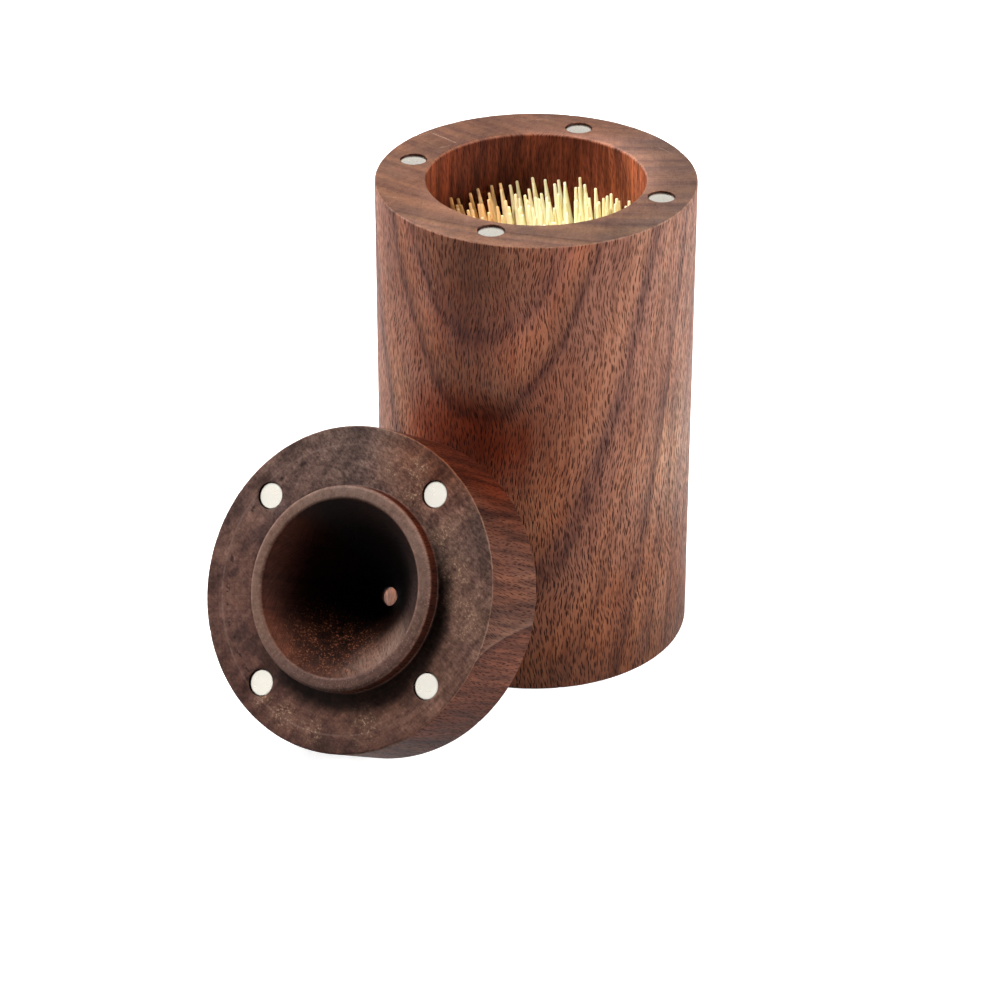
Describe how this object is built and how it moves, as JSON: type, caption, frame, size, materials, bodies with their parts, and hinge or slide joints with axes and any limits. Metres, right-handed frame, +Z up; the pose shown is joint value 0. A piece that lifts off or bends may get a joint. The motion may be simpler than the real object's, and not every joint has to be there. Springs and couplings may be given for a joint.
{
  "type": "toothpick dispenser",
  "caption": "Round wooden cup of toothpicks with a thick magnetic lid whose funnel ends in a small dispensing hole; the lid leans against the cup.",
  "frame": {"origin": "centre of the cup's underside, on the surface it stands on", "axes": "+Z up along the cup's axis; the lid leans against the cup on the -X, -Y side"},
  "size_m": [0.0905, 0.1009, 0.0936],
  "materials": {
    "walnut_cup": "oiled",
    "walnut_lid": "oiled",
    "magnet": "satin nickel",
    "toothpick": "raw"
  },
  "bodies": {
    "cup": {"casing": "walnut_cup", "casing_magnet_1": "magnet", "casing_magnet_2": "magnet", "casing_magnet_3": "magnet", "casing_magnet_4": "magnet"},
    "lid": {"lid": "walnut_lid", "lid_magnet_1": "magnet", "lid_magnet_2": "magnet", "lid_magnet_3": "magnet", "lid_magnet_4": "magnet"},
    "bundle": {"toothpicks_core": "toothpick", "toothpicks_mid_back": "toothpick", "toothpicks_mid_front": "toothpick", "toothpicks_mid_left": "toothpick", "toothpicks_mid_right": "toothpick", "toothpicks_wall_back": "toothpick", "toothpicks_wall_back_left": "toothpick", "toothpicks_wall_back_right": "toothpick", "toothpicks_wall_front": "toothpick", "toothpicks_wall_front_left": "toothpick", "toothpicks_wall_front_right": "toothpick", "toothpicks_wall_left": "toothpick", "toothpicks_wall_right": "toothpick"},
    "single_toothpick": {"toothpick_centre": "toothpick"}
  },
  "joints": [
    {"name": "lid_close", "type": "hinge", "parent": "cup", "child": "lid", "pos_m": [-0.02502, -0.03958, 0.08092], "axis": [-0.8347, 0.5505, 0.0112], "range_deg": [0, 238.21]},
    {"name": "bundle_rise", "type": "slide", "parent": "cup", "child": "bundle", "axis": [0, 0, 1], "range_m": [0, 0.004]},
    {"name": "toothpick_out", "type": "slide", "parent": "bundle", "child": "single_toothpick", "axis": [0, 0, 1], "range_m": [0, 0.095]}
  ]
}
